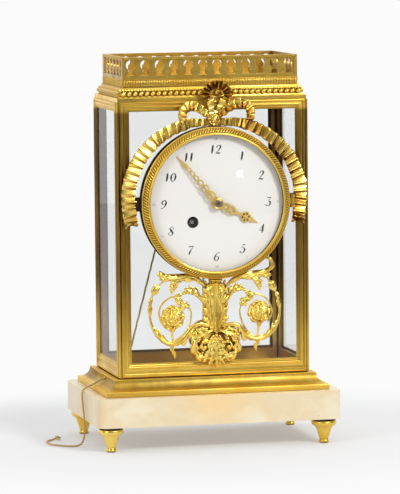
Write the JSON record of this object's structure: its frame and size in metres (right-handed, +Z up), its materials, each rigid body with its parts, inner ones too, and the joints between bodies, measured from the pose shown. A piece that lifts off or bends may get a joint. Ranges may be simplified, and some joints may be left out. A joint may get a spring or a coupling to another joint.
{
  "type": "cage clock",
  "caption": "Glazed gilt table clock on a footed marble plinth, with a round dial, ribbon and scroll ornaments, a pierced gallery, a pendulum movement and a pull cord.",
  "frame": {"origin": "middle of the plinth's footprint, on the surface the clock stands on", "axes": "+X to the right seen from the front, -Y towards the viewer of the dial, +Z up"},
  "size_m": [0.2633, 0.151, 0.36],
  "materials": {
    "gilt": "fire-gilt bronze, partly burnished",
    "hand_gilt": "pierced gilt brass",
    "movement_brass": "polished and lacquered",
    "dark_brass": "dull aged brass",
    "bell_metal": "turned",
    "steel": "polished",
    "blued_steel": "blued",
    "dark_steel": "darkened",
    "black_washer": "matt",
    "marble": "polished veined marble, opaque",
    "enamel": "fired white enamel, opaque",
    "pane_glass": "clear",
    "cord": "twisted silk cord"
  },
  "bodies": {
    "case": {"marble_plinth": "marble", "feet": "gilt", "foot_washers": "black_washer", "foot_bolts": "steel", "base_moulding": "gilt", "cord_bush": "gilt", "cage_floor": "dark_brass", "corner_posts": "gilt", "front_frame": "gilt", "left_frame": "gilt", "right_frame": "gilt", "front_glass": "pane_glass", "left_glass": "pane_glass", "right_glass": "pane_glass", "rear_door_pins": "steel", "roof_plate": "gilt", "cornice": "gilt", "milled_band": "gilt", "gallery_front": "gilt", "gallery_left": "gilt", "gallery_right": "gilt", "gallery_rear": "gilt", "dial_plate": "dark_steel", "enamel_dial": "enamel", "bezel_hinge_pin": "steel", "ribbon_bow": "gilt", "ribbon_left": "gilt", "ribbon_right": "gilt", "acanthus_stem": "gilt", "shell_palmette": "gilt", "scroll_left": "gilt", "scroll_right": "gilt", "front_plate": "movement_brass", "back_plate": "movement_brass", "plate_pillars": "movement_brass", "suspension_cock": "movement_brass", "bell": "bell_metal", "inner_cord": "cord", "free_cord": "cord", "cord_knot": "cord"},
    "rear_door": {"rear_door_frame": "gilt", "rear_door_glass": "pane_glass"},
    "bezel_door": {"bezel": "gilt", "bezel_glass": "pane_glass"},
    "minute_hand_set": {"minute_hand": "hand_gilt", "hand_collet": "steel"},
    "hour_hand_set": {"hour_hand": "hand_gilt", "hour_wheel": "movement_brass"},
    "minute_wheel_set": {"minute_wheel": "movement_brass"},
    "barrel_set": {"mainspring_barrel": "movement_brass"},
    "winding_set": {"winding_arbor": "steel"},
    "click_set": {"click": "blued_steel"},
    "centre_set": {"centre_wheel": "movement_brass"},
    "third_set": {"third_wheel": "movement_brass"},
    "escape_set": {"escape_wheel": "movement_brass"},
    "anchor_set": {"anchor": "steel"},
    "pendulum": {"pendulum_rod": "steel"},
    "bob": {"pendulum_bob": "gilt"},
    "pulley_set": {"repeat_pulley": "movement_brass"},
    "hammer_set": {"hammer": "steel"}
  },
  "joints": [
    {"name": "minute_hand_turn", "type": "hinge", "parent": "case", "child": "minute_hand_set", "pos_m": [0, -0.06, 0.226], "axis": [0, 1, 0], "continuous": true},
    {"name": "minute_wheel_turn", "type": "hinge", "parent": "case", "child": "minute_wheel_set", "pos_m": [0.0118, -0.05, 0.21774], "axis": [0, 1, 0], "continuous": true},
    {"name": "hour_hand_turn", "type": "hinge", "parent": "case", "child": "hour_hand_set", "pos_m": [0, -0.06, 0.226], "axis": [0, 1, 0], "continuous": true},
    {"name": "escape_wheel_turn", "type": "hinge", "parent": "case", "child": "escape_set", "pos_m": [0, -0.03, 0.25463], "axis": [0, 1, 0], "continuous": true},
    {"name": "third_wheel_turn", "type": "hinge", "parent": "case", "child": "third_set", "pos_m": [0.00955, -0.03, 0.24255], "axis": [0, 1, 0], "continuous": true},
    {"name": "centre_wheel_turn", "type": "hinge", "parent": "case", "child": "centre_set", "pos_m": [0, -0.03, 0.226], "axis": [0, 1, 0], "continuous": true},
    {"name": "barrel_turn", "type": "hinge", "parent": "case", "child": "barrel_set", "pos_m": [-0.0225, -0.03, 0.209], "axis": [0, 1, 0], "continuous": true},
    {"name": "winding_turn", "type": "hinge", "parent": "case", "child": "winding_set", "pos_m": [-0.0225, -0.05, 0.209], "axis": [0, 1, 0], "continuous": true},
    {"name": "click_lift", "type": "hinge", "parent": "case", "child": "click_set", "pos_m": [-0.025, -0.048, 0.2235], "axis": [0, -1, 0], "range_deg": [0, 12], "stiffness_Nm_per_rad": 0.002},
    {"name": "pendulum_swing", "type": "hinge", "parent": "case", "child": "pendulum", "pos_m": [0, -0.008, 0.2702], "axis": [0, 1, 0], "range_deg": [-3.5, 3.5]},
    {"name": "anchor_rock", "type": "hinge", "parent": "case", "child": "anchor_set", "pos_m": [0, -0.03, 0.2702], "axis": [0, 1, 0], "range_deg": [-3.6, 3.6]},
    {"name": "bob_slide", "type": "slide", "parent": "pendulum", "child": "bob", "axis": [0, 0, 1], "range_m": [-0.003, 0.003]},
    {"name": "pulley_pull", "type": "hinge", "parent": "case", "child": "pulley_set", "pos_m": [-0.0327, -0.012, 0.1927], "axis": [0, -1, 0], "range_deg": [0, 90], "stiffness_Nm_per_rad": 0.01},
    {"name": "hammer_strike", "type": "hinge", "parent": "case", "child": "hammer_set", "pos_m": [0.0145, -0.012, 0.1807], "axis": [0, 1, 0], "range_deg": [-3, 14], "stiffness_Nm_per_rad": 0.06, "springref_deg": -1.15},
    {"name": "bezel_open", "type": "hinge", "parent": "case", "child": "bezel_door", "pos_m": [0.073, -0.05855, 0.226], "axis": [0, 0, 1], "range_deg": [0, 95]},
    {"name": "rear_door_open", "type": "hinge", "parent": "case", "child": "rear_door", "pos_m": [0.08945, 0.05355, 0.19], "axis": [0, 0, -1], "range_deg": [0, 110]}
  ],
  "couplings": [
    {"joint": "minute_wheel_turn", "follows": "minute_hand_turn", "ratio": -0.33333},
    {"joint": "hour_hand_turn", "follows": "minute_hand_turn", "ratio": 0.083333},
    {"joint": "third_wheel_turn", "follows": "escape_wheel_turn", "ratio": -0.1},
    {"joint": "centre_wheel_turn", "follows": "escape_wheel_turn", "ratio": 0.0083333},
    {"joint": "barrel_turn", "follows": "escape_wheel_turn", "ratio": -0.0011905},
    {"joint": "anchor_rock", "follows": "pendulum_swing", "ratio": 1}
  ]
}
